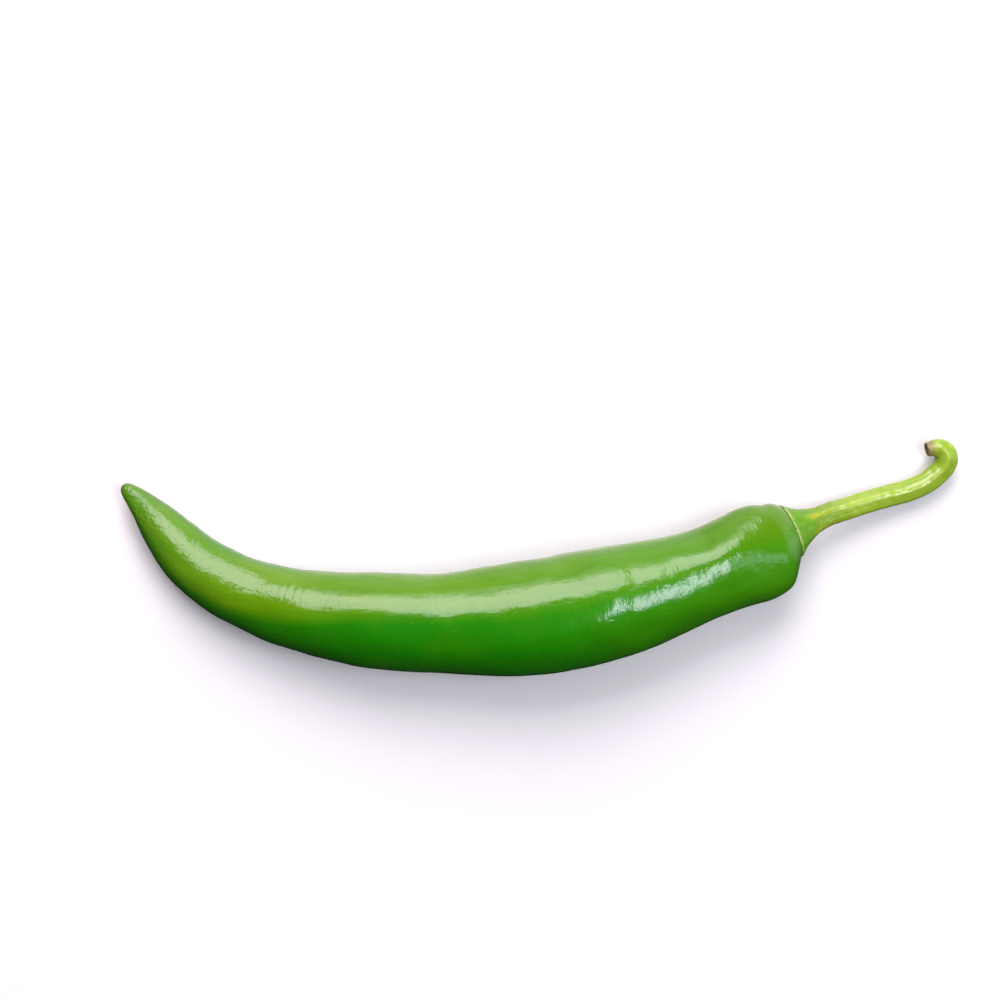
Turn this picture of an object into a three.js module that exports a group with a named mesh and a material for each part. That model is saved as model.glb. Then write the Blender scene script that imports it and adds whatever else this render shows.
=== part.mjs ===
// A long green chilli, picked with its stem and lying on its side on a flat surface.
// Millimetres, +Z up. The origin is on the surface, at the bottom centre of the bounding box.
// +X runs from the tip to the stem. The bow of the pod lies in the XY plane, its hollow side to +Y.
//
// Three solids: the pod, the calyx that caps its shoulder, and the stem. Each is turned on a lathe
// as a straight body, and the pod and the stem are then bent onto their own curved middle lines.

import * as THREE from "three";

// ---- Driving dimensions ----

// Middle line of the pod from its tip to its shoulder: plan x and y, and height above the surface.
const POD_AXIS = [
  [-70.0, 30.2, 5.2],
  [-62.4, 22.3, 5.8],
  [-54.8, 14.2, 6.7],
  [-46.0, 8.1, 7.4],
  [-35.8, 4.3, 8.2],
  [-25.2, 1.9, 9.15],
  [-9.0, 0.2, 10.35],
  [7.3, 0.1, 11.1],
  [23.5, 1.8, 12.05],
  [39.5, 5.0, 11.75],
  [55.2, 9.6, 10.9],
  [65.2, 13.5, 10.2],
  [72.0, 16.1, 9.5],
  [77.8, 18.5, 8.3],
];

// Pod radius at shares of that line, from the blunt tip to the last ring, under the calyx.
const POD_PROFILE = [
  [0.0, 0.0],
  [0.002, 0.9],
  [0.011, 1.8],
  [0.037, 3.0],
  [0.074, 4.5],
  [0.112, 5.7],
  [0.167, 6.85],
  [0.25, 8.1],
  [0.335, 9.45],
  [0.42, 10.6],
  [0.495, 10.9],
  [0.57, 12.0],
  [0.67, 12.6],
  [0.757, 12.0],
  [0.845, 10.3],
  [0.882, 9.95],
  [0.935, 10.6],
  [0.965, 10.1],
  [0.984, 8.6],
  [1.0, 5.9],
];

// The top half is lower round the calyx: by this share of its height at most, growing over a range
// of shares of the pod's line and ending over a range of heights in the calyx.
const TOP_FALL = 0.28;
const TOP_FALLS = [0.86, 0.965];
const TOP_RETURNS = [0, 6];

const CALYX_SHIFT = 1.6; // the calyx sits off the middle line by this much, to the hollow side
const CALYX_DROP = 0.6; // and lower than the middle line by this much
const SHIFT_START = 0.97; // share of the pod's line where both begin
const SEAT_RISE = 0.6; // height of the pod's low dome under the calyx
const JOINT_GAP = 0.3; // clear distance between neighbouring solids

// Calyx section: radius, and height above the pod's last ring, from the rim to the neck.
const CALYX_PROFILE = [
  [5.85, 0.4],
  [6.05, 0.7],
  [5.8, 1.1],
  [4.7, 2.2],
  [3.75, 4.0],
  [3.1, 5.7],
  [2.75, 7.4],
];

// Middle line of the stem beyond its straight start at the calyx.
const STEM_START = 2.5;
const STEM_AXIS = [
  [88.6, 24.5, 5.2],
  [92.6, 25.8, 4.4],
  [97.0, 27.1, 3.6],
  [101.5, 28.3, 3.0],
  [105.0, 29.4, 2.85],
  [107.8, 30.8, 2.85],
  [110.2, 32.7, 3.0],
  [111.75, 34.7, 3.3],
  [112.1, 36.4, 3.7],
  [111.1, 37.95, 4.1],
  [109.4, 38.35, 4.4],
  [107.6, 38.0, 4.6],
];

// Stem radius at shares of its length: a neck at the calyx, a slow taper, a thin hooked end.
const STEM_PROFILE = [
  [0.0, 2.75],
  [0.1, 2.55],
  [0.3, 2.5],
  [0.6, 2.45],
  [0.8, 2.5],
  [0.9, 2.45],
  [0.95, 2.0],
  [1.0, 1.5],
];
const RIB_COUNT = 5;
const RIB_DEPTH = 0.05; // share of the stem's radius

const FINISHES = {
  pod: { color: 0x3f8f12, roughness: 0.28, metalness: 0 },
  calyx: { color: 0x6f9a2b, roughness: 0.5, metalness: 0 },
  stem: { color: 0xa9c24e, roughness: 0.45, metalness: 0 },
};

// Fineness of the meshes.
const POD_STEPS = 60;
const POD_SIDES = 28;
const SEAT_STEPS = 4;
const CALYX_STEPS = 14;
const CALYX_SIDES = 28;
const STEM_STEPS = 40;
const STEM_SIDES = 20;

// ---- Curves and profiles ----

const WORLD_UP = new THREE.Vector3(0, 0, 1);

function curveThrough(points) {
  return new THREE.CatmullRomCurve3(points, false, "centripetal");
}

function vectors(rows) {
  return rows.map((row) => new THREE.Vector3(...row));
}

// The directions of a body at a share of its curve: left and up across it, and along it.
function directionsAt(curve, share) {
  const along = curve.getTangentAt(share);
  const left = new THREE.Vector3().crossVectors(WORLD_UP, along).normalize();
  const up = new THREE.Vector3().crossVectors(along, left);
  return { left, along, up };
}

// Lathe points, with the radius in x and the share in y, on the smooth line through the stations.
// Shares are stretched while the line is drawn, so that they weigh as much as the radii do.
function smoothProfile(stations, steps) {
  const stretch = 12;
  const line = new THREE.SplineCurve(
    stations.map(([share, radius]) => new THREE.Vector2(radius, share * stretch)),
  );
  return line.getPoints(steps).map(({ x, y }) => new THREE.Vector2(Math.max(x, 0), y / stretch));
}

// ---- Bending ----

// Carries a straight lathe body, whose y is its share of the curve, onto that curve. Sections stay
// square to the curve. Each one moves by moved(share) times the shift to the left and the drop.
function bendOnto(geometry, curve, moved = () => 0) {
  const position = geometry.getAttribute("position");
  const length = curve.getLength();
  for (let i = 0; i < position.count; i++) {
    const share = THREE.MathUtils.clamp(position.getY(i), 0, 1);
    const overshoot = (position.getY(i) - share) * length;
    const { left, along, up } = directionsAt(curve, share);
    const point = curve
      .getPointAt(share)
      .addScaledVector(left, CALYX_SHIFT * moved(share) - position.getX(i))
      .addScaledVector(up, position.getZ(i) - CALYX_DROP * moved(share))
      .addScaledVector(along, overshoot);
    position.setXYZ(i, point.x, point.y, point.z);
  }
  return geometry;
}

// Flattens the underside where the body lies on the surface.
function restOnSurface(geometry) {
  const position = geometry.getAttribute("position");
  for (let i = 0; i < position.count; i++) position.setZ(i, Math.max(position.getZ(i), 0));
  return geometry;
}

// Raises low ridges along a straight lathe body.
function raiseRibs(geometry, count, depth) {
  const position = geometry.getAttribute("position");
  for (let i = 0; i < position.count; i++) {
    const turn = Math.atan2(position.getZ(i), position.getX(i));
    const swell = 1 - (depth * (1 - Math.cos(count * turn))) / 2;
    position.setX(i, position.getX(i) * swell);
    position.setZ(i, position.getZ(i) * swell);
  }
  return geometry;
}

function piece(name, geometry) {
  const mesh = new THREE.Mesh(geometry, new THREE.MeshStandardMaterial(FINISHES[name]));
  mesh.name = name;
  return mesh;
}

// ---- Pod ----

const podCurve = curveThrough(vectors(POD_AXIS));
const podEnd = directionsAt(podCurve, 1);
const calyxSeat = podCurve
  .getPointAt(1)
  .addScaledVector(podEnd.left, CALYX_SHIFT)
  .addScaledVector(podEnd.up, -CALYX_DROP);

function towardsCalyx(share) {
  return THREE.MathUtils.smoothstep(share, SHIFT_START, 1);
}

// A quarter-ellipse dome from the rim at (radius, 0) up to the axis at (0, rise).
function dome(radius, rise, steps) {
  const points = Array.from({ length: steps }, (_, i) => {
    const turn = (Math.PI / 2) * (i / steps);
    return new THREE.Vector2(radius * Math.cos(turn), rise * Math.sin(turn));
  });
  return [...points, new THREE.Vector2(0, rise)];
}

// Presses the top half of a straight lathe body down, by fallen(y) times the greatest fall.
function pressTop(geometry, fallen) {
  const position = geometry.getAttribute("position");
  for (let i = 0; i < position.count; i++) {
    const height = 1 - TOP_FALL * fallen(position.getY(i));
    position.setZ(i, position.getZ(i) * (position.getZ(i) > 0 ? height : 1));
  }
  return geometry;
}

function makePod() {
  const wall = smoothProfile(POD_PROFILE, POD_STEPS);
  const [, seatRadius] = POD_PROFILE.at(-1);
  const seat = dome(seatRadius, SEAT_RISE / podCurve.getLength(), SEAT_STEPS).slice(1);
  const closing = seat.map(({ x, y }) => new THREE.Vector2(x, 1 + y));
  const straight = new THREE.LatheGeometry([...wall, ...closing], POD_SIDES);
  const pressed = pressTop(straight, (share) => THREE.MathUtils.smoothstep(share, ...TOP_FALLS));
  return piece("pod", restOnSurface(bendOnto(pressed, podCurve, towardsCalyx)));
}

// ---- Calyx ----

function makeCalyx() {
  const [[rimRadius]] = CALYX_PROFILE;
  const [, neckHeight] = CALYX_PROFILE.at(-1);
  const underside = dome(rimRadius, SEAT_RISE, SEAT_STEPS).slice(1).reverse();
  const raised = underside.map(({ x, y }) => new THREE.Vector2(x, y + JOINT_GAP));
  const outline = new THREE.SplineCurve(CALYX_PROFILE.map((row) => new THREE.Vector2(...row)));
  const outside = outline.getPoints(CALYX_STEPS);
  const top = new THREE.Vector2(0, neckHeight);
  const straight = new THREE.LatheGeometry([...raised, ...outside, top], CALYX_SIDES);
  const fallen = (height) => 1 - THREE.MathUtils.smoothstep(height, ...TOP_RETURNS);
  const mesh = piece("calyx", pressTop(straight, fallen));
  const right = podEnd.left.clone().negate();
  const turned = new THREE.Matrix4().makeBasis(right, podEnd.along, podEnd.up);
  mesh.quaternion.setFromRotationMatrix(turned);
  mesh.position.copy(calyxSeat);
  return mesh;
}

// ---- Stem ----

function makeStem() {
  const [, neckHeight] = CALYX_PROFILE.at(-1);
  const root = calyxSeat.clone().addScaledVector(podEnd.along, neckHeight + JOINT_GAP);
  const straightStart = root.clone().addScaledVector(podEnd.along, STEM_START);
  const curve = curveThrough([root, straightStart, ...vectors(STEM_AXIS)]);
  const wall = smoothProfile(STEM_PROFILE, STEM_STEPS);
  const profile = [new THREE.Vector2(0, 0), ...wall, new THREE.Vector2(0, 1)];
  const straight = raiseRibs(new THREE.LatheGeometry(profile, STEM_SIDES), RIB_COUNT, RIB_DEPTH);
  return piece("stem", bendOnto(straight, curve));
}

// ---- Assembly ----

const chilli = new THREE.Group();
chilli.add(makePod(), makeCalyx(), makeStem());

const box = new THREE.Box3().setFromObject(chilli, true);
const centre = box.getCenter(new THREE.Vector3());
chilli.position.set(-centre.x, -centre.y, -box.min.z);

export default chilli;
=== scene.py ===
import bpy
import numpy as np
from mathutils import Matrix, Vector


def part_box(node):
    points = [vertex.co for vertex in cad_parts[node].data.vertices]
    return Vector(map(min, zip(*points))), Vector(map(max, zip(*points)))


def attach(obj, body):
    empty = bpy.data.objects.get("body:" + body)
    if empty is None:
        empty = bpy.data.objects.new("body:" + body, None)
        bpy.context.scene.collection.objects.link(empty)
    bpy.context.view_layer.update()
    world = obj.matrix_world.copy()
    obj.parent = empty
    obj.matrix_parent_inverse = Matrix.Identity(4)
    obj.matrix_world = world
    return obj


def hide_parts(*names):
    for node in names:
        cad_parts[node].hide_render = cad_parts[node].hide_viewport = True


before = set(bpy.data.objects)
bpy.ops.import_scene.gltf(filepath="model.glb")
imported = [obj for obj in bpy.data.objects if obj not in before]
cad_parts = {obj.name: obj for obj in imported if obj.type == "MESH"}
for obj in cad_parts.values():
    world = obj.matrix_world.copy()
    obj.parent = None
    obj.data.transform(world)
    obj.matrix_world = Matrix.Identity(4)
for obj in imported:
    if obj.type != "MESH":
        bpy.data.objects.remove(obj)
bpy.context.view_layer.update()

# A long green chilli, picked with its stem and lying on its side on a pale table.
#
# The pod, the calyx and the stem are skins worked out with numpy. Each is a grid of points: rings
# along a middle line, and turns round it. Lengths are in millimetres until a mesh is made, and a
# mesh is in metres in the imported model's frame. A turn of 0 points to the hollow side of the bow
# (left, as seen from the tip), a quarter turn points up and half a turn to the outer side.

MM = 0.001
MM_IN_CM = 10
FULL_TURN = 2 * np.pi
random = np.random.default_rng(seed=16)

# ---- Dimensions of the pod ----

# Middle line from tip to shoulder: plan x and y, and height above the table.
POD_AXIS = [
    (-70.0, 30.2, 5.2),
    (-62.4, 22.3, 5.8),
    (-54.8, 14.2, 6.7),
    (-46.0, 8.1, 7.4),
    (-35.8, 4.3, 8.2),
    (-25.2, 1.9, 9.15),
    (-9.0, 0.2, 10.35),
    (7.3, 0.1, 11.1),
    (23.5, 1.8, 12.05),
    (39.5, 5.0, 11.75),
    (55.2, 9.6, 10.9),
    (65.2, 13.5, 10.2),
    (72.0, 16.1, 9.5),
    (77.8, 18.5, 8.3),
]

# Radius at shares of that line, from the blunt tip to the last ring, under the calyx.
POD_PROFILE = [
    (0.0, 0.0),
    (0.002, 0.9),
    (0.011, 1.8),
    (0.037, 3.0),
    (0.074, 4.5),
    (0.112, 5.7),
    (0.167, 6.85),
    (0.25, 8.1),
    (0.335, 9.45),
    (0.42, 10.6),
    (0.495, 10.9),
    (0.57, 12.0),
    (0.67, 12.6),
    (0.757, 12.0),
    (0.845, 10.3),
    (0.882, 9.95),
    (0.935, 10.6),
    (0.965, 10.1),
    (0.984, 8.6),
    (1.0, 5.9),
]

CALYX_SHIFT = 1.6  # the calyx sits off the middle line by this much, to the hollow side
CALYX_DROP = 0.6  # and lower than the middle line by this much
SHIFT_START = 0.97  # share of the pod's line where both begin
SEAT_RISE = 0.6  # height of the pod's low dome under the calyx

# The top half is lower round the calyx: by this share of its height at most, growing over a range
# of shares of the pod's line and ending over a range of heights in the calyx.
TOP_FALL = 0.28
TOP_FALLS = (0.86, 0.965)
TOP_RETURNS = (0.0, 6.0)

# Dents (positive depth) and lumps in the skin: length along, turn, half length, half width, depth.
DENTS = [
    (5.0, 0.26, 3.5, 1.8, 0.25),
    (11.5, 0.20, 1.6, 2.2, -0.07),
    (22.0, 0.16, 5.0, 2.4, 0.16),
    (30.5, 0.20, 4.5, 2.6, 0.22),
    (38.5, 0.17, 2.6, 3.0, 0.16),
    (44.0, 0.16, 2.2, 3.5, -0.12),
    (56.0, 0.13, 9.0, 3.0, 0.15),
    (69.0, 0.20, 7.0, 3.5, -0.10),
    (90.0, 0.15, 10.0, 4.0, 0.14),
    (101.3, 0.33, 0.5, 2.2, 0.05),
    (104.0, 0.12, 4.0, 3.5, -0.22),
    (110.0, 0.11, 3.0, 3.0, 0.16),
    (112.0, 0.41, 5.0, 4.0, 0.25),
    (117.4, 0.11, 4.0, 3.6, -0.28),
    (119.8, 0.285, 2.0, 2.6, 0.16),
    (120.0, 0.46, 4.0, 4.0, -0.22),
    (123.5, 0.17, 1.6, 4.5, 0.13),
    (128.0, 0.11, 4.5, 4.0, 0.20),
    (129.0, 0.42, 5.0, 4.5, 0.22),
    (134.5, 0.15, 3.5, 4.0, -0.12),
    (141.0, 0.09, 4.0, 4.0, 0.16),
    (143.8, 0.20, 1.2, 5.5, -0.12),
    (144.5, 0.19, 6.0, 3.0, -0.45),
    (146.0, 0.30, 7.0, 3.5, 0.30),
]
# A patch of wrinkles across the pod: the same five numbers, and the pitch from crest to crest.
WRINKLES = (48.0, 0.185, 3.2, 2.4, 0.07)
WRINKLE_PITCH = 1.8

# Unevenness of the whole skin: number of waves, longest and shortest wavelength, and height.
LUMPS = (18, 34.0, 16.0, 0.12)
RIPPLES = (26, 13.0, 7.0, 0.05)
FINE_RIPPLES = (70, 4.5, 2.2, 0.011)
TIP_IS_EVEN = (0.0, 0.03)  # shares of the pod's line over which the unevenness comes in
SEAT_IS_EVEN = (0.985, 1.0)  # and over which it goes out

# The side painted yellower as lit. Near the tip it is turned further up, and it is wider.
PAINTED_LIGHT_TURN = 0.105
TIP_EXTRA_TURN = 0.12
EXTRA_TURN_GOES = (25, 70)  # lengths along the pod
TIP_EXTRA_WIDTH = 0.06
EXTRA_WIDTH_GOES = (0.2, 0.5)  # shares of the pod's line

# The tip is dull. Most of that goes over the first range of lengths, and the rest over the second.
FIRST_GLOSS, FIRST_GLOSS_COMES = 0.55, (8, 16)
LAST_GLOSS, LAST_GLOSS_COMES = 0.45, (36, 58)

POD_RINGS, POD_SIDES = 540, 174
DOME_STEPS = 40

# ---- Dimensions of the calyx and the stem ----

# The calyx's outline, as height above the pod's last ring and radius: its hollow underside, the
# thin lip that grips the pod, the bell, and the neck that the stem grows out of.
CALYX_OUTLINE = [
    (0.75, 0.0),
    (0.7, 2.0),
    (0.45, 4.2),
    (0.02, 5.7),
    (0.05, 5.98),
    (0.25, 6.1),
    (0.48, 6.05),
    (0.7, 5.85),
    (1.1, 5.45),
    (2.1, 4.7),
    (3.9, 3.72),
    (5.6, 3.06),
    (7.3, 2.72),
    (8.4, 2.56),
    (9.0, 2.3),
    (9.1, 1.2),
    (9.1, 0.0),
]
CALYX_RINGS, CALYX_SIDES = 180, 150
RINGS_UNDER_LIP = 6  # the outside begins this many rings before the widest one
LIP_HEIGHT, LIP_HALF_WIDTH = 0.3, 0.22
LIP_INNER_RADIUS = 5.6
TOOTH_HEIGHT, MEAN_TOOTH = 0.14, 0.4  # height of the lip's teeth, and their mean share of it
LIP_PALENESS, LIP_MOTTLE = 0.75, 1.2
BELL_BEGINS = (0.8, 3.0)  # heights over which the bell follows the lip
NECK_BEGINS = (4.0, 7.0)  # and over which the neck follows the bell
CALYX_RIBS_BEGIN = (2.0, 6.0)  # heights over which the pale ribs come in
KNOT_HEIGHT, KNOT_HALF_WIDTH = 5.6, 1.1
SEPALS = 5
SEPAL_HEIGHT, MEAN_SEPAL = 0.18, 0.3  # height of the sepals' ridges, and their mean share of it
FIRST_RIB = 0.185  # turn of the rib that faces up, where the calyx joins the stem
CALYX_UNEVENNESS = (40, 3.0, 1.0, 0.025)  # as for the pod

# Middle line of the stem beyond its straight start at the calyx.
STEM_STRAIGHT = (6.9, 7.7, 10.2)  # heights above the pod's last ring
STEM_AXIS = [
    (88.6, 24.5, 5.2),
    (92.6, 25.8, 4.4),
    (97.0, 27.1, 3.6),
    (101.5, 28.3, 3.0),
    (105.0, 29.4, 2.85),
    (107.8, 30.8, 2.85),
    (110.2, 32.7, 3.0),
    (111.75, 34.7, 3.3),
    (112.1, 36.4, 3.7),
    (111.1, 37.95, 4.1),
    (109.4, 38.35, 4.4),
    (107.6, 38.0, 4.6),
]

# The stem's radius at shares of its length.
STEM_PROFILE = [
    (0.0, 2.5),
    (0.03, 2.62),
    (0.12, 2.52),
    (0.3, 2.45),
    (0.6, 2.4),
    (0.8, 2.45),
    (0.9, 2.4),
    (0.95, 1.95),
    (0.985, 1.65),
]

# The dry scar at the stem's end, as distance back from the end and radius: a raised edge round a
# hollow middle. The skin turns to brown bark over a range of those distances.
SCAR_OUTLINE = [(0.25, 1.62), (0.0, 1.4), (0.02, 1.05), (0.3, 0.5), (0.35, 0.0)]
BARK_BEGINS = (2.0, 0.6)

STEM_RINGS, STEM_SIDES = 420, 120
RIB_HEIGHT = 0.22  # height of the stem's ribs
FULL_RIB_RADIUS = 2.4  # the ribs are lower where the stem is thinner than this
RIB_TWIST = 0.5  # how far the ribs turn along the whole stem, in radians
HOOK_FLATTENS = (0.8, 0.97)  # shares of the stem over which the ribs lose part of their height
HOOK_LOSS = 0.6
STRANDS = 17
STRAND_HEIGHT = 0.015
STRAND_SWAY, SWAY_RATE = 2.5, 4.0  # the strands wander by this much, at this rate, in radians
STEM_RIBS_BEGIN = (0, 2)  # lengths over which the pale ribs come in
ROOT_GOES = (0.5, 9.0)  # lengths over which the calyx's green goes
STEM_KNOT_LENGTH, STEM_KNOT_SHARE = 5.0, 0.7
STEM_UNEVENNESS = (40, 5.0, 1.5, 0.03)  # as for the pod

# ---- Smooth lines ----


def unit(vectors):
    """Each vector over its own length, with a floor that keeps a vector of no length at zero."""
    shortest = 1e-12
    return vectors / np.maximum(np.linalg.norm(vectors, axis=-1, keepdims=True), shortest)


def smooth_step(value, start, end):
    """0 before start, 1 after end, and 3t^2 - 2t^3 between them."""
    t = np.clip((value - start) / (end - start), 0, 1)
    return t * t * (3 - 2 * t)


def smooth_line(points, steps=60):
    """Points on the natural cubic spline through the given ones.

    The knots are spaced by the straight distance between neighbours. The second slopes m solve
    h0 m0 + 2 (h0 + h1) m1 + h1 m2 = 6 (rise1 / h1 - rise0 / h0), with none at either end, so that
    the curvature has no jumps and a highlight runs along the skin without kinks.
    """
    points = np.asarray(points, float)
    rise = np.diff(points, axis=0)
    gap = np.linalg.norm(rise, axis=1)
    system = np.eye(len(points))
    right = np.zeros_like(points)
    inner = np.arange(1, len(points) - 1)
    system[inner, inner - 1] = gap[:-1]
    system[inner, inner] = 2 * (gap[:-1] + gap[1:])
    system[inner, inner + 1] = gap[1:]
    right[inner] = 6 * (rise[1:] / gap[1:, None] - rise[:-1] / gap[:-1, None])
    bend = np.linalg.solve(system, right)
    t = np.linspace(0, 1, steps, endpoint=False)[None, :, None]
    h = gap[:, None, None]
    line = (
        points[:-1, None] * (1 - t)
        + points[1:, None] * t
        + ((1 - t) ** 3 - (1 - t)) * bend[:-1, None] * h * h / 6
        + (t**3 - t) * bend[1:, None] * h * h / 6
    )
    return np.vstack([line.reshape(-1, points.shape[1]), points[-1:]])


def run_of(line):
    """The length along a line of points up to each of them."""
    steps = np.linalg.norm(np.diff(line, axis=0), axis=1)
    return np.concatenate([[0.0], np.cumsum(steps)])


def read_line(line, run, at):
    """The line's points at the given lengths along it."""
    return np.stack([np.interp(at, run, column) for column in line.T], axis=-1)


class MiddleLine:
    """A smooth curve in space, read by length along it."""

    def __init__(self, points):
        self.places = smooth_line(points)
        self.run = run_of(self.places)
        self.length = self.run[-1]
        self.headings = unit(np.gradient(self.places, self.run, axis=0))

    def sections(self, at):
        """Place, left, up and along at each length. Beyond the ends the line runs on straight."""
        on_line = np.clip(at, 0, self.length)
        along = unit(read_line(self.headings, self.run, on_line))
        place = read_line(self.places, self.run, on_line) + along * (at - on_line)[:, None]
        left = unit(np.cross((0.0, 0.0, 1.0), along))
        return place, left, np.cross(along, left), along


def even_rings(outline, count):
    """A turned body's outline, as (length along, radius), read at even steps of its own run."""
    run = run_of(outline)
    return read_line(outline, run, np.linspace(0, run[-1], count))


# ---- Skins ----


def skin_normals(skin):
    """Outward normals of a grid of rings: the slope along crossed with the slope round."""
    round_slope = np.roll(skin, -1, axis=1) - np.roll(skin, 1, axis=1)
    along_slope = np.gradient(skin, axis=0)
    return unit(np.cross(round_slope, along_slope))


def uneven(places, count, longest, shortest, height):
    """Gentle unevenness: a sum of plane waves with random directions, lengths and phases.

    Its root mean square is the height, because each of the count waves has a mean square of half.
    """
    directions = unit(random.normal(size=(count, 3)))
    pitch = FULL_TURN / random.uniform(shortest, longest, count)
    phases = random.uniform(0, FULL_TURN, count)
    waves = np.sin(places @ (directions * pitch[:, None]).T + phases)
    return height * waves.sum(axis=-1) / np.sqrt(count / 2)


def skin_mesh(name, skin, lengths, turns):
    """A closed mesh from rings of points, with a fan to a pole at each end.

    Each quad joins two neighbouring turns of two neighbouring rings. The UV map holds the length
    along and the length round, both in centimetres, so that a pattern keeps its size.
    """
    rings, sides = skin.shape[:2]
    poles = skin[[0, -1]].mean(axis=1)
    vertices = np.vstack([skin.reshape(-1, 3), poles]) * MM
    ring, side = np.meshgrid(np.arange(rings - 1), np.arange(sides), indexing="ij")
    beside = (side + 1) % sides
    quads = np.stack(
        [
            ring * sides + side,
            ring * sides + beside,
            (ring + 1) * sides + beside,
            (ring + 1) * sides + side,
        ],
        axis=-1,
    ).reshape(-1, 4)
    around = np.arange(sides)
    last = (rings - 1) * sides
    first_fan = np.stack([around, np.full(sides, rings * sides), (around + 1) % sides], axis=-1)
    last_fan = np.stack(
        [last + around, last + (around + 1) % sides, np.full(sides, rings * sides + 1)], axis=-1
    )
    faces = [*quads.tolist(), *first_fan.tolist(), *last_fan.tolist()]
    mesh = bpy.data.meshes.new(name)
    mesh.from_pydata(vertices.tolist(), [], faces)
    mesh.shade_smooth()

    girth = np.linalg.norm(np.roll(skin, -1, axis=1) - skin, axis=-1).sum(axis=1)
    ring_uv = np.stack([ring, ring, ring + 1, ring + 1], axis=-1).reshape(-1)
    side_uv = np.stack([side, side + 1, side + 1, side], axis=-1).reshape(-1)
    quad_uv = np.stack([lengths[ring_uv], turns[side_uv] * girth[ring_uv]], axis=-1)
    middle = (turns[:-1] + turns[1:]) / 2
    first_turns = np.stack([turns[:-1], middle, turns[1:]], axis=-1).reshape(-1)
    last_turns = np.stack([turns[:-1], turns[1:], middle], axis=-1).reshape(-1)
    first_uv = np.stack([np.full(3 * sides, lengths[0]), first_turns * girth[0]], axis=-1)
    last_uv = np.stack([np.full(3 * sides, lengths[-1]), last_turns * girth[-1]], axis=-1)
    layer = mesh.uv_layers.new(name="Skin")
    skin_map = np.vstack([quad_uv, first_uv, last_uv]) / MM_IN_CM
    layer.uv.foreach_set("vector", skin_map.ravel())
    return mesh


def add_attribute(mesh, name, values):
    """A number for each point of the grid, then the mean of its end ring for each pole."""
    flat = np.concatenate([values.reshape(-1), [values[0].mean(), values[-1].mean()]])
    attribute = mesh.attributes.new(name, "FLOAT", "POINT")
    attribute.data.foreach_set("value", flat.astype(np.float32))


def add_piece(name, mesh, node, material):
    """The mesh as a shown piece that stands for a CAD node."""
    mesh.materials.append(material)
    piece = bpy.data.objects.new(name, mesh)
    bpy.context.scene.collection.objects.link(piece)
    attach(piece, "root")
    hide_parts(node)


# ---- Nodes ----

NOISE_SPREAD = (0.3, 0.7)  # the range that cloudy noise mostly keeps to


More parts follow.
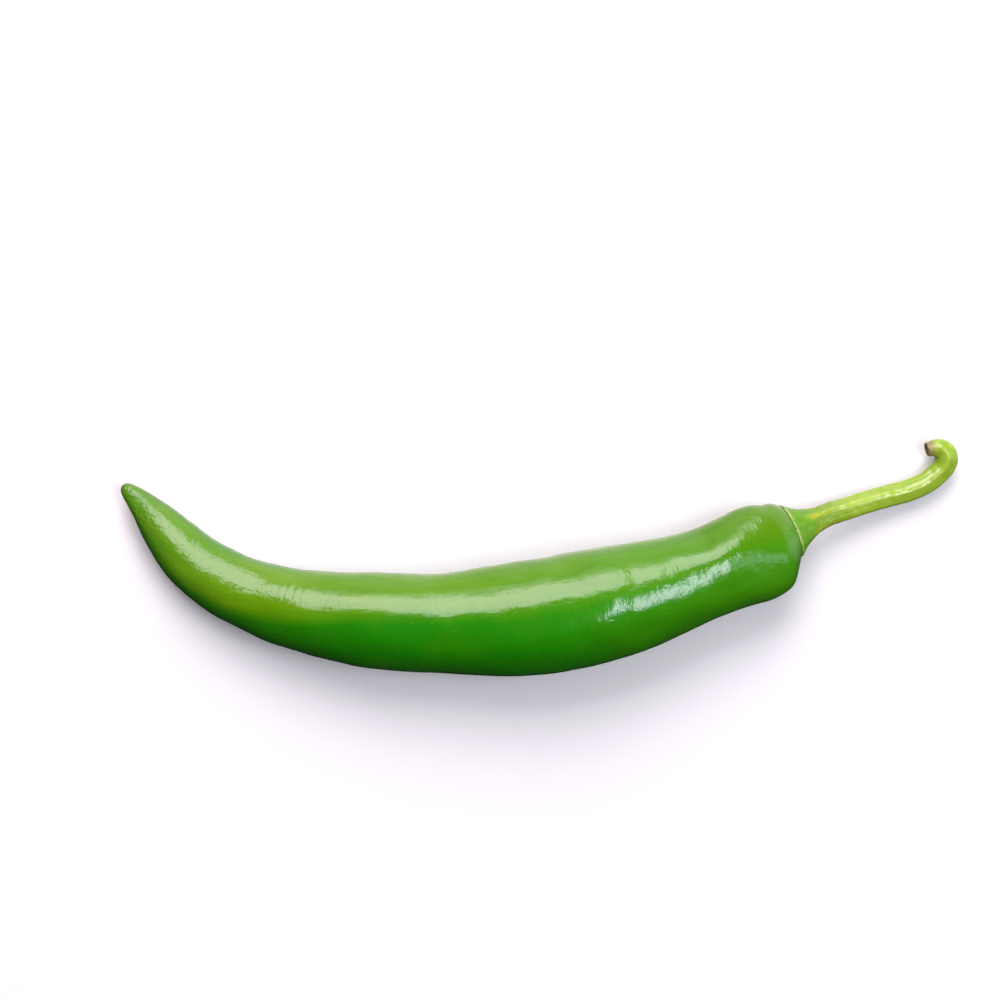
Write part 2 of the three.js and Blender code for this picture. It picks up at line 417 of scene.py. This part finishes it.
class Finish:
    """A material with a Principled shader, and the nodes that feed it."""

    def __init__(self, name, **constants):
        self.material = bpy.data.materials.new(name)
        self.material.use_nodes = True
        self.tree = self.material.node_tree
        self.shader = self.tree.nodes["Principled BSDF"]
        for socket, value in constants.items():
            self.shader.inputs[socket.replace("_", " ")].default_value = value
        self.position = self.add("ShaderNodeTexCoord").outputs["Object"]

    def add(self, kind, **settings):
        """A node with its properties set."""
        node = self.tree.nodes.new(kind)
        for name, value in settings.items():
            setattr(node, name, value)
        return node

    def feed(self, socket, value):
        """Links an output to a socket, or sets the socket to a constant."""
        if isinstance(value, bpy.types.NodeSocket):
            self.tree.links.new(value, socket)
        else:
            socket.default_value = value

    def attribute(self, name):
        """A number that the mesh carries at each point."""
        return self.add("ShaderNodeAttribute", attribute_name=name).outputs["Fac"]

    def noise(self, scale, detail, place=None):
        """Cloudy noise from 0 to 1, with as many clouds in a metre as its scale says."""
        node = self.add("ShaderNodeTexNoise")
        self.feed(node.inputs["Vector"], self.position if place is None else place)
        node.inputs["Scale"].default_value = scale
        node.inputs["Detail"].default_value = detail
        return node.outputs["Fac"]

    def skin_noise(self, along, across, detail):
        """Noise on the skin's own map, with this many clouds in a centimetre along and round it."""
        mapping = self.add("ShaderNodeMapping")
        skin_map = self.add("ShaderNodeUVMap", uv_map="Skin")
        self.feed(mapping.inputs["Vector"], skin_map.outputs["UV"])
        mapping.inputs["Scale"].default_value = (along, across, 1)
        return self.noise(1.0, detail, mapping.outputs["Vector"])

    def clouds(self, scale, detail, low=0.0, high=1.0):
        """Cloudy noise spread over the range from low to high."""
        return self.level(self.noise(scale, detail), *NOISE_SPREAD, low, high)

    def spots(self, scale, radius, soft):
        """1 in round spots, one in each cell of a scattered lattice, and 0 between them.

        The radius and the soft edge are shares of a cell, and the scale is cells in a metre.
        """
        node = self.add("ShaderNodeTexVoronoi")
        self.feed(node.inputs["Vector"], self.position)
        node.inputs["Scale"].default_value = scale
        return self.level(node.outputs["Distance"], radius + soft, radius)

    def level(self, value, low, high, to_low=0.0, to_high=1.0):
        """Stretches the range from low to high onto the new one, smoothly and held at its ends."""
        node = self.add("ShaderNodeMapRange", interpolation_type="SMOOTHSTEP")
        self.feed(node.inputs["Value"], value)
        self.feed(node.inputs["From Min"], low)
        self.feed(node.inputs["From Max"], high)
        self.feed(node.inputs["To Min"], to_low)
        self.feed(node.inputs["To Max"], to_high)
        return node.outputs["Result"]

    def joined(self, first, second, operation):
        """Two numbers joined by an operation."""
        node = self.add("ShaderNodeMath", operation=operation)
        self.feed(node.inputs[0], first)
        self.feed(node.inputs[1], second)
        return node.outputs[0]

    def total(self, first, second):
        """One number plus another."""
        return self.joined(first, second, "ADD")

    def product(self, first, second):
        """One number times another."""
        return self.joined(first, second, "MULTIPLY")

    def blend(self, share, first, second):
        """Two colours mixed by a share: 0 is the first and 1 the second."""
        node = self.add("ShaderNodeMix", data_type="RGBA")
        self.feed(node.inputs["Factor"], share)
        self.feed(node.inputs["A"], first)
        self.feed(node.inputs["B"], second)
        return node.outputs["Result"]

    def colours_along(self, value, stops):
        """A run of colours at places from 0 to 1."""
        node = self.add("ShaderNodeValToRGB")
        self.feed(node.inputs[0], value)
        elements = node.color_ramp.elements
        while len(elements) < len(stops):
            elements.new(0.5)  # its place is set below
        for element, (place, colour) in zip(elements, stops):
            element.position = place
            element.color = (*colour, 1)
        return node.outputs["Color"]

    def relief(self, height, depth, below=None):
        """A bump of a height pattern, depth in millimetres, over another bump."""
        node = self.add("ShaderNodeBump")
        node.inputs["Distance"].default_value = depth * MM
        self.feed(node.inputs["Height"], height)
        if below is not None:
            self.feed(node.inputs["Normal"], below)
        return node.outputs["Normal"]

    def complete(self, colour, roughness, normal):
        """Feeds the shader and gives the material."""
        self.feed(self.shader.inputs["Base Color"], colour)
        self.feed(self.shader.inputs["Roughness"], roughness)
        self.feed(self.shader.inputs["Normal"], normal)
        self.feed(self.shader.inputs["Coat Normal"], normal)
        return self.material


def rgb(red, green, blue):
    """A colour for a socket."""
    return (red, green, blue, 1.0)


# The pod's colours at shares of its line, from the tip, for its painted lit and painted shade
# sides.
PAINTED_LIT_GREENS = [
    (0.0, (0.095, 0.250, 0.014)),
    (0.25, (0.110, 0.258, 0.002)),
    (0.5, (0.100, 0.262, 0.001)),
    (0.85, (0.075, 0.245, 0.002)),
    (1.0, (0.085, 0.215, 0.004)),
]
PAINTED_SHADE_GREENS = [
    (0.0, (0.075, 0.210, 0.006)),
    (0.2, (0.024, 0.200, 0.002)),
    (0.4, (0.010, 0.200, 0.001)),
    (0.65, (0.012, 0.215, 0.001)),
    (0.8, (0.036, 0.225, 0.002)),
    (1.0, (0.050, 0.225, 0.003)),
]
# Facing the painted light: where the painted shade ends, and where the painted light is full.
PAINTED_LIGHT_EDGE = (0.78, 0.97)
STREAK_GREEN = rgb(0.026, 0.175, 0.001)
SPECK_GREEN = rgb(0.20, 0.36, 0.05)
SPECK_STRENGTH = 0.35

CALYX_GREENS = (rgb(0.085, 0.260, 0.010), rgb(0.130, 0.310, 0.018))
NECK_GREENS = (rgb(0.145, 0.290, 0.008), rgb(0.200, 0.335, 0.018))  # and of the stem's root
CALYX_RIB = rgb(0.36, 0.48, 0.05)
CALYX_RIB_STRENGTH = 0.6
# Yellow of the knots: partly their own colour, partly a painted highlight on their tops.
CALYX_KNOT_AND_PAINTED_LIGHT = rgb(0.38, 0.36, 0.03)
PALE_LIP = rgb(0.50, 0.52, 0.22)

STEM_GREENS = (rgb(0.225, 0.400, 0.014), rgb(0.310, 0.455, 0.040))
STEM_RIB = rgb(0.37, 0.50, 0.04)
STEM_RIB_STRENGTH = 0.55
STEM_STREAK = rgb(0.16, 0.32, 0.01)
# Yellow of the stem's knots: partly their own colour, partly a painted highlight on their tops.
STEM_KNOT_AND_PAINTED_LIGHT = rgb(0.38, 0.42, 0.03)
STEM_SPECK = rgb(0.13, 0.15, 0.03)
STEM_SPECK_STRENGTH = 0.6
SCAR_BARK = (rgb(0.13, 0.085, 0.02), rgb(0.40, 0.33, 0.12))


def waxy_green_skin():
    """The pod's waxed skin: yellow green painted as light on one side, deep green as painted shade.

    Along it run faint streaks, and pale specks are scattered over it. The tip is duller.
    """
    finish = Finish(
        "waxy green skin",
        Specular_IOR_Level=0.02,
        Coat_Weight=1.0,
        Coat_Roughness=0.15,
        Coat_IOR=1.55,
    )
    along = finish.attribute("along")
    # Painted light and shade: yellow green on the side that faces the light, deep green on the
    # other.
    painted_light = finish.colours_along(along, PAINTED_LIT_GREENS)
    painted_shade = finish.colours_along(along, PAINTED_SHADE_GREENS)
    side = finish.level(finish.attribute("painted_light"), *PAINTED_LIGHT_EDGE)
    patches = finish.clouds(scale=90, detail=3, low=-0.12, high=0.12)
    colour = finish.blend(finish.total(side, patches), painted_shade, painted_light)
    streaks = finish.skin_noise(along=0.5, across=5.0, detail=3)
    streaks = finish.level(streaks, low=0.35, high=0.75, to_high=0.3)
    colour = finish.blend(streaks, colour, STREAK_GREEN)
    specks = finish.product(finish.spots(scale=260, radius=0.035, soft=0.03), SPECK_STRENGTH)
    colour = finish.blend(specks, colour, SPECK_GREEN)
    roughness = finish.clouds(scale=400, detail=2, low=0.30, high=0.42)

    ridges_across = finish.skin_noise(along=10.0, across=4.0, detail=3)
    ridges_along = finish.skin_noise(along=3.0, across=11.0, detail=2)
    pimples = finish.noise(scale=480, detail=3)
    grain = finish.noise(scale=1700, detail=2)
    dull = finish.product(finish.noise(scale=1300, detail=3), finish.attribute("dull"))
    relief = finish.relief(ridges_across, depth=0.06)
    relief = finish.relief(ridges_along, depth=0.04, below=relief)
    relief = finish.relief(pimples, depth=0.03, below=relief)
    relief = finish.relief(grain, depth=0.03, below=relief)
    relief = finish.relief(dull, depth=0.25, below=relief)
    return finish.complete(colour, roughness, relief)


def ribbed_calyx_skin():
    """The calyx's satin skin: fresh green, paler to the neck, with a thin pale lip."""
    finish = Finish(
        "ribbed calyx skin",
        Specular_IOR_Level=0.1,
        Coat_Weight=0.6,
        Coat_Roughness=0.2,
    )
    mottle = finish.clouds(scale=900, detail=4)
    colour = finish.blend(mottle, *CALYX_GREENS)
    neck = finish.blend(mottle, *NECK_GREENS)
    colour = finish.blend(finish.attribute("neck"), colour, neck)
    ribs = finish.product(finish.attribute("rib"), CALYX_RIB_STRENGTH)
    colour = finish.blend(ribs, colour, CALYX_RIB)
    # Knot yellow on the tops only: partly own colour, partly painted highlight.
    colour = finish.blend(finish.attribute("knot_and_painted_light"), colour, CALYX_KNOT_AND_PAINTED_LIGHT)
    worn = finish.level(finish.noise(scale=1500, detail=2), low=0.2, high=0.6)
    lip = finish.product(finish.attribute("lip"), worn)
    colour = finish.blend(lip, colour, PALE_LIP)
    roughness = finish.clouds(scale=1200, detail=2, low=0.42, high=0.58)
    relief = finish.relief(finish.skin_noise(along=3, across=14, detail=3), depth=0.08)
    return finish.complete(colour, roughness, relief)


def ribbed_stem_skin():
    """The stem's satin skin: pale yellow green, paler on its ribs, brown and dry at the scar."""
    finish = Finish(
        "ribbed stem skin",
        Specular_IOR_Level=0.3,
        Coat_Weight=1.0,
        Coat_Roughness=0.12,
    )
    mottle = finish.clouds(scale=700, detail=4)
    colour = finish.blend(mottle, *STEM_GREENS)
    ribs = finish.product(finish.attribute("rib"), STEM_RIB_STRENGTH)
    colour = finish.blend(ribs, colour, STEM_RIB)
    streaks = finish.skin_noise(along=0.8, across=14, detail=3)
    streaks = finish.level(streaks, low=0.5, high=0.75, to_high=0.5)
    colour = finish.blend(streaks, colour, STEM_STREAK)
    root = finish.blend(mottle, *NECK_GREENS)
    colour = finish.blend(finish.attribute("root"), colour, root)
    # Knot yellow on the tops only: partly own colour, partly painted highlight.
    colour = finish.blend(finish.attribute("knot_and_painted_light"), colour, STEM_KNOT_AND_PAINTED_LIGHT)
    specks = finish.spots(scale=420, radius=0.05, soft=0.05)
    colour = finish.blend(finish.product(specks, STEM_SPECK_STRENGTH), colour, STEM_SPECK)
    bark = finish.blend(finish.noise(scale=1500, detail=4), *SCAR_BARK)
    colour = finish.blend(finish.attribute("scar"), colour, bark)
    roughness = finish.clouds(scale=1100, detail=2, low=0.36, high=0.52)
    relief = finish.relief(finish.skin_noise(along=1.2, across=18, detail=3), depth=0.025)
    relief = finish.relief(finish.noise(scale=1500, detail=3), depth=0.02, below=relief)
    return finish.complete(colour, roughness, relief)


# ---- Pod ----


def turned_rings(sections, radii, angle, press=0.0):
    """Rings square to a middle line: its place, plus left times cosine and up times sine.

    The top half of a ring is lower by its press, as a share.
    """
    place, left, up, _ = sections
    sine = np.sin(angle)[None, :, None] * np.ones((len(place), 1, 1))
    sine = sine * (1 - (sine > 0) * np.reshape(press, (-1, 1, 1)))
    outward = left[:, None] * np.cos(angle)[None, :, None] + up[:, None] * sine
    return place[:, None] + outward * radii[..., None]


def pod_outline(line):
    """The pod's outline as (length along, radius): the profile, then a low quarter ellipse.

    The profile starts mirrored, so that it leaves the axis square and the tip is blunt.
    """
    stations = [(share * line.length, radius) for share, radius in POD_PROFILE]
    length, radius = stations[1]
    profile = smooth_line([(length, -radius), *stations])
    profile = profile[np.argmax(profile[:, 1] >= 0) :]
    profile[0] = 0.0
    turn = np.linspace(0, np.pi / 2, DOME_STEPS)[1:]
    end, edge = stations[-1]
    dome = np.stack([end + SEAT_RISE * np.sin(turn), edge * np.cos(turn)], axis=-1)
    return np.vstack([profile, dome])


def turns_of(sides):
    """Turns round a ring from 0 to 1, both ends included, and the angles of its points."""
    turns = np.linspace(0, 1, sides + 1)
    return turns, turns[:-1] * FULL_TURN


pod_line = MiddleLine(POD_AXIS)
pod_lengths, pod_radii = even_rings(pod_outline(pod_line), POD_RINGS).T
pod_shares = pod_lengths / pod_line.length
pod_turns, pod_angles = turns_of(POD_SIDES)


def plain_pod():
    """The pod before it is given its unevenness.

    Its last rings move over to the calyx, and their top half is pressed down.
    """
    place, left, up, along = pod_line.sections(pod_lengths)
    moved = smooth_step(pod_shares, SHIFT_START, 1)[:, None]
    place = place + (left * CALYX_SHIFT - up * CALYX_DROP) * moved
    press = TOP_FALL * smooth_step(pod_shares, *TOP_FALLS)
    radii = pod_radii[:, None] + 0 * pod_angles
    return turned_rings((place, left, up, along), radii, pod_angles, press)


smooth_pod = plain_pod()

# From the middle lines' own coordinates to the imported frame: the pod's lowest x and y agree.
pod_low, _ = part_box("pod")
TO_FRAME = np.array([pod_low.x / MM, pod_low.y / MM, 0.0])
TO_FRAME[:2] -= smooth_pod[..., :2].min(axis=(0, 1))


def spot_on_pod(length, turn, half_length, half_width):
    """A soft round spot: e to the minus (distance over half size) squared, and distance along."""
    along = (pod_lengths - length)[:, None]
    away = (pod_turns[:-1] - turn + 0.5) % 1 - 0.5
    across = away[None, :] * FULL_TURN * pod_radii[:, None]
    return np.exp(-((along / half_length) ** 2) - (across / half_width) ** 2), along


def dents():
    """How deep the skin is dented: a soft spot for each dent, and waves across it for wrinkles."""
    depth = np.zeros(smooth_pod.shape[:2])
    for *where, deepest in DENTS:
        depth += deepest * spot_on_pod(*where)[0]
    *where, deepest = WRINKLES
    spot, along = spot_on_pod(*where)
    return depth + deepest * spot * np.cos(FULL_TURN * along / WRINKLE_PITCH)


def make_pod():
    """The plain pod with lumps, ripples, fine ripples and dents along its normals.

    They are nothing at the poles. The underside is then flat where it would go below the table.
    """
    uneven_share = smooth_step(pod_shares, *TIP_IS_EVEN)
    uneven_share = uneven_share * (1 - smooth_step(pod_shares, *SEAT_IS_EVEN))
    height = sum(uneven(smooth_pod, *waves) for waves in (LUMPS, RIPPLES, FINE_RIPPLES))
    height = (height - dents()) * uneven_share[:, None]
    skin = smooth_pod + skin_normals(smooth_pod) * height[..., None]
    skin[..., 2] = np.maximum(skin[..., 2], 0)
    mesh = skin_mesh("pod_skin", skin + TO_FRAME, pod_lengths, pod_turns)

    # Painted light: 1 on the side painted as lit, falling to 0 on the side painted as shade.
    painted_light_turn = PAINTED_LIGHT_TURN + TIP_EXTRA_TURN * (1 - smooth_step(pod_lengths, *EXTRA_TURN_GOES))
    painted_light = 0.5 + 0.5 * np.cos(pod_angles[None, :] - painted_light_turn[:, None] * FULL_TURN)
    wider = TIP_EXTRA_WIDTH * (1 - smooth_step(pod_shares, *EXTRA_WIDTH_GOES))
    glossy = FIRST_GLOSS * smooth_step(pod_lengths, *FIRST_GLOSS_COMES)
    glossy = glossy + LAST_GLOSS * smooth_step(pod_lengths, *LAST_GLOSS_COMES)
    add_attribute(mesh, "along", np.broadcast_to(pod_shares[:, None], skin.shape[:2]))
    add_attribute(mesh, "dull", np.broadcast_to(1 - glossy[:, None], skin.shape[:2]))
    add_attribute(mesh, "painted_light", painted_light + wider[:, None])
    return mesh


# ---- Calyx and stem ----

pod_end = pod_line.sections(np.array([pod_line.length]))
seat_place, seat_left, seat_up, seat_along = (values[0] for values in pod_end)
seat_place = seat_place + seat_left * CALYX_SHIFT - seat_up * CALYX_DROP


def ribs_round(angles, twist=0.0):
    """Five rounded ribs round a ring, 1 on a rib and 0 midway between two."""
    return 0.5 + 0.5 * np.cos(SEPALS * (angles - FIRST_RIB * FULL_TURN - twist))


def bell_curve(value, middle, half_width):
    """1 at the middle, falling off as e to the minus (distance over half width) squared."""
    return np.exp(-(((value - middle) / half_width) ** 2))


# Used to paint the knots' highlight on their tops only.
def painted_light_on_top(angles):
    """1 at the top of a ring, 0 at its underside, and half a sine wave between them."""
    return 0.5 + 0.5 * np.sin(angles)


def lip_wave(angles):
    """How uneven the lip is round the calyx: nine waves, and fourteen weaker ones."""
    return 0.12 * np.sin(9 * angles + 1.0) + 0.08 * np.sin(14 * angles)


def make_calyx():
    """The outline turned round the seat's axis, with a toothed lip and low ribs up to the neck."""
    heights, radii = even_rings(smooth_line(CALYX_OUTLINE), CALYX_RINGS).T
    turns, angles = turns_of(CALYX_SIDES)
    outside = np.arange(CALYX_RINGS) >= np.argmax(radii) - RINGS_UNDER_LIP
    edge = bell_curve(heights, LIP_HEIGHT, LIP_HALF_WIDTH) * outside * (radii > LIP_INNER_RADIUS)
    bell = smooth_step(heights, *BELL_BEGINS) * outside
    neck = smooth_step(heights, *NECK_BEGINS) * outside
    rib = ribs_round(angles)[None, :]
    wave = lip_wave(angles)
    teeth = TOOTH_HEIGHT * (rib**1.5 - MEAN_TOOTH + wave) * edge[:, None]
    sepals = SEPAL_HEIGHT * (rib**2 - MEAN_SEPAL) * bell[:, None] * (1 - neck)[:, None]
    stem_ribs = RIB_HEIGHT * (rib - 0.5) * neck[:, None]

    place = seat_place + seat_along * heights[:, None]
    left = np.tile(seat_left, (CALYX_RINGS, 1))
    up = np.tile(seat_up, (CALYX_RINGS, 1))
    press = TOP_FALL * (1 - smooth_step(heights, *TOP_RETURNS))
    round_radii = radii[:, None] + sepals + stem_ribs + teeth
    skin = turned_rings((place, left, up, None), round_radii, angles, press)
    skin = skin - seat_along * teeth[..., None]
    rough = uneven(skin, *CALYX_UNEVENNESS) * bell[:, None]
    skin += skin_normals(skin) * rough[..., None]
    mesh = skin_mesh("calyx_skin", skin + TO_FRAME, heights, turns)

    pale_ribs = (smooth_step(heights, *CALYX_RIBS_BEGIN) * outside)[:, None] * rib**3
    knots = (bell_curve(heights, KNOT_HEIGHT, KNOT_HALF_WIDTH) * outside)[:, None] * rib**6
    add_attribute(mesh, "lip", edge[:, None] * (LIP_PALENESS + LIP_MOTTLE * wave)[None, :])
    add_attribute(mesh, "rib", pale_ribs)
    add_attribute(mesh, "neck", np.broadcast_to(neck[:, None], skin.shape[:2]))
    # The knots' yellow, kept to their tops: partly the joint's own colour, partly a painted
    # highlight.
    add_attribute(mesh, "knot_and_painted_light", knots * painted_light_on_top(angles)[None, :])
    return mesh


def stem_outline(length):
    """The stem's outline as (length along, radius): from the axis, its profile, then its scar."""
    stations = [(share * length, radius) for share, radius in STEM_PROFILE]
    scar = [(length - back, radius) for back, radius in SCAR_OUTLINE]
    return smooth_line([(0.0, 0.0), *stations, *scar])


def make_stem():
    """The outline carried along the stem's line, with ribs that turn slowly, and fine strands.

    The strands and the unevenness fade within a millimetre of the axis.
    """
    straight = [seat_place + seat_along * height for height in STEM_STRAIGHT]
    line = MiddleLine([*straight, *(np.array(point) for point in STEM_AXIS)])
    lengths, radii = even_rings(stem_outline(line.length), STEM_RINGS).T
    turns, angles = turns_of(STEM_SIDES)
    share = np.clip(lengths / line.length, 0, 1)[:, None]
    rib = ribs_round(angles[None, :], RIB_TWIST * share)
    strand = np.cos(STRANDS * angles[None, :] + STRAND_SWAY * np.sin(SWAY_RATE * share))
    rib_height = RIB_HEIGHT * np.minimum(radii / FULL_RIB_RADIUS, 1)[:, None]
    rib_height = rib_height * (1 - HOOK_LOSS * smooth_step(share, *HOOK_FLATTENS))
    off_axis = np.minimum(radii, 1)[:, None]
    strands = STRAND_HEIGHT * strand * off_axis
    round_radii = radii[:, None] + rib_height * (rib - 0.5) + strands
    skin = turned_rings(line.sections(lengths), round_radii, angles)
    rough = uneven(skin, *STEM_UNEVENNESS) * off_axis
    skin += skin_normals(skin) * rough[..., None]
    mesh = skin_mesh("stem_skin", skin + TO_FRAME, lengths, turns)

    root = 1 - smooth_step(lengths, *ROOT_GOES)
    knots = STEM_KNOT_SHARE * bell_curve(lengths, 0, STEM_KNOT_LENGTH)[:, None] * rib**4
    scar = smooth_step(line.length - lengths, *BARK_BEGINS)
    add_attribute(mesh, "rib", rib**2 * smooth_step(lengths, *STEM_RIBS_BEGIN)[:, None])
    add_attribute(mesh, "root", np.broadcast_to(root[:, None], skin.shape[:2]))
    # The knots' yellow, kept to their tops: partly the joint's own colour, partly a painted
    # highlight.
    add_attribute(mesh, "knot_and_painted_light", knots * painted_light_on_top(angles)[None, :])
    add_attribute(mesh, "scar", np.broadcast_to(scar[:, None], skin.shape[:2]))
    return mesh


add_piece("pod_skin", make_pod(), "pod", waxy_green_skin())
add_piece("calyx_skin", make_calyx(), "calyx", ribbed_calyx_skin())
add_piece("stem_skin", make_stem(), "stem", ribbed_stem_skin())

# ---- Table, light and camera ----

TABLE_HALF_SIZE = 3.0  # metres, as are all the lengths in this section
TABLE_GREY = rgb(0.82, 0.82, 0.82)

ROSY = (1.0, 0.87, 0.95)
COOL = (0.85, 0.82, 1.0)
WHITE = (1.0, 1.0, 1.0)

# Lights that the skins mirror, and fills that they don't: name, direction from the object,
# distance, width, height, radiance and colour.
SOFT_BOXES = [
    ("main soft box", (-0.12, 0.695, 0.705), 1.0, 0.84, 0.72, 4.2, ROSY),
    ("main glow", (-0.14, 0.75, 0.65), 1.0, 0.90, 0.95, 1.8, ROSY),
    ("strip", (0.425, -0.08, 0.905), 0.9, 0.42, 0.13, 8.0, COOL),
    ("strip glow", (0.425, -0.08, 0.905), 0.95, 0.50, 0.27, 4.5, COOL),
    ("screen", (0.74, -0.10, 0.66), 0.9, 0.20, 0.45, 1.8, COOL),
]
FILLS = [
    ("back fill", (0.0, 0.87, 0.50), 1.5, 1.2, 1.2, 0.8, WHITE),
    ("top fill", (0.0, 0.0, 1.0), 1.5, 1.5, 1.5, 1.15, WHITE),
    ("stem end fill", (1.0, -0.10, 0.2), 1.5, 1.5, 0.8, 2.2, WHITE),
]

# The room as the camera sees it, and as the object does: dark, with a pale glow.
SEEN_ROOM = rgb(0.93, 0.93, 0.93)
DARK_ROOM = rgb(0.015, 0.02, 0.015)
PALE_GLOW = rgb(1.20, 1.20, 1.00)
# For each axis of a direction: where the glow begins, and where it is full.
GLOW_RAMPS = (("Y", -0.12, 0.3), ("Z", 0.5, -0.1), ("X", -0.9, 0.2))

LENS, SENSOR_WIDTH = 85, 36  # millimetres
VIEW_CENTRE = (-0.0088, 0.01245)  # the camera's x and y
VIEW_LEVEL = 0.010  # height above the table where the view has the width below
VIEW_WIDTH = 0.2188


def make_table():
    """A wide pale table. Only the camera sees it, so that the skins mirror the room alone."""
    mesh = bpy.data.meshes.new("table")
    half = TABLE_HALF_SIZE
    corners = [(-half, -half, 0), (half, -half, 0), (half, half, 0), (-half, half, 0)]
    mesh.from_pydata(corners, [], [(0, 1, 2, 3)])
    finish = Finish("pale table", Base_Color=TABLE_GREY, Roughness=0.9, Specular_IOR_Level=0.1)
    mesh.materials.append(finish.material)
    table = bpy.data.objects.new("table", mesh)
    bpy.context.scene.collection.objects.link(table)
    table.visible_diffuse = False
    table.visible_glossy = False


def soft_box(name, direction, distance, width, height, radiance, colour):
    """A flat rectangular light that faces the object. Its power is radiance times pi times area."""
    data = bpy.data.lights.new(name, "AREA")
    data.shape = "RECTANGLE"
    data.size = width
    data.size_y = height
    data.energy = radiance * np.pi * width * height
    data.color = colour
    lamp = bpy.data.objects.new(name, data)
    bpy.context.scene.collection.objects.link(lamp)
    away = Vector(direction).normalized()
    lamp.location = away * distance
    lamp.rotation_euler = away.to_track_quat("Z", "Y").to_euler()
    lamp.visible_camera = False
    return lamp


def make_lights():
    """The soft boxes, and the fills, which light the skins without a highlight.

    The main soft box stands behind, and the strip and the screen are over the stem's end. A wider,
    weaker glow round the main soft box and round the strip softens their edges.
    """
    for row in SOFT_BOXES:
        soft_box(*row)
    for row in FILLS:
        soft_box(*row).visible_glossy = False


def make_world():
    """A pale room for the camera. The object mirrors a dark one, with a pale glow low behind it.

    The glow is the product of smooth ramps on the axes of the direction.
    """
    world = bpy.data.worlds.new("pale room")
    world.use_nodes = True
    bpy.context.scene.world = world
    nodes = world.node_tree.nodes
    links = world.node_tree.links
    split = nodes.new("ShaderNodeSeparateXYZ")
    links.new(nodes.new("ShaderNodeTexCoord").outputs["Generated"], split.inputs[0])
    glow = None
    for axis, start, end in GLOW_RAMPS:
        ramp = nodes.new("ShaderNodeMapRange")
        ramp.interpolation_type = "SMOOTHSTEP"
        links.new(split.outputs[axis], ramp.inputs["Value"])
        ramp.inputs["From Min"].default_value = start
        ramp.inputs["From Max"].default_value = end
        if glow is None:
            glow = ramp
            continue
        both = nodes.new("ShaderNodeMath")
        both.operation = "MULTIPLY"
        links.new(glow.outputs[0], both.inputs[0])
        links.new(ramp.outputs[0], both.inputs[1])
        glow = both
    room = nodes.new("ShaderNodeMix")
    room.data_type = "RGBA"
    room.inputs["A"].default_value = DARK_ROOM
    room.inputs["B"].default_value = PALE_GLOW
    links.new(glow.outputs[0], room.inputs["Factor"])
    seen = nodes.new("ShaderNodeMix")
    seen.data_type = "RGBA"
    links.new(nodes.new("ShaderNodeLightPath").outputs["Is Camera Ray"], seen.inputs["Factor"])
    links.new(room.outputs["Result"], seen.inputs["A"])
    seen.inputs["B"].default_value = SEEN_ROOM
    links.new(seen.outputs["Result"], nodes["Background"].inputs["Color"])


def make_camera():
    """The camera looks straight down on the bow, from as high as its view's width needs."""
    data = bpy.data.cameras.new("camera")
    data.lens = LENS
    data.sensor_width = SENSOR_WIDTH
    camera = bpy.data.objects.new("camera", data)
    bpy.context.scene.collection.objects.link(camera)
    camera.location = (*VIEW_CENTRE, VIEW_LEVEL + VIEW_WIDTH * LENS / SENSOR_WIDTH)
    bpy.context.scene.camera = camera


make_table()
make_world()
make_lights()
make_camera()
bpy.context.scene.view_settings.view_transform = "Standard"
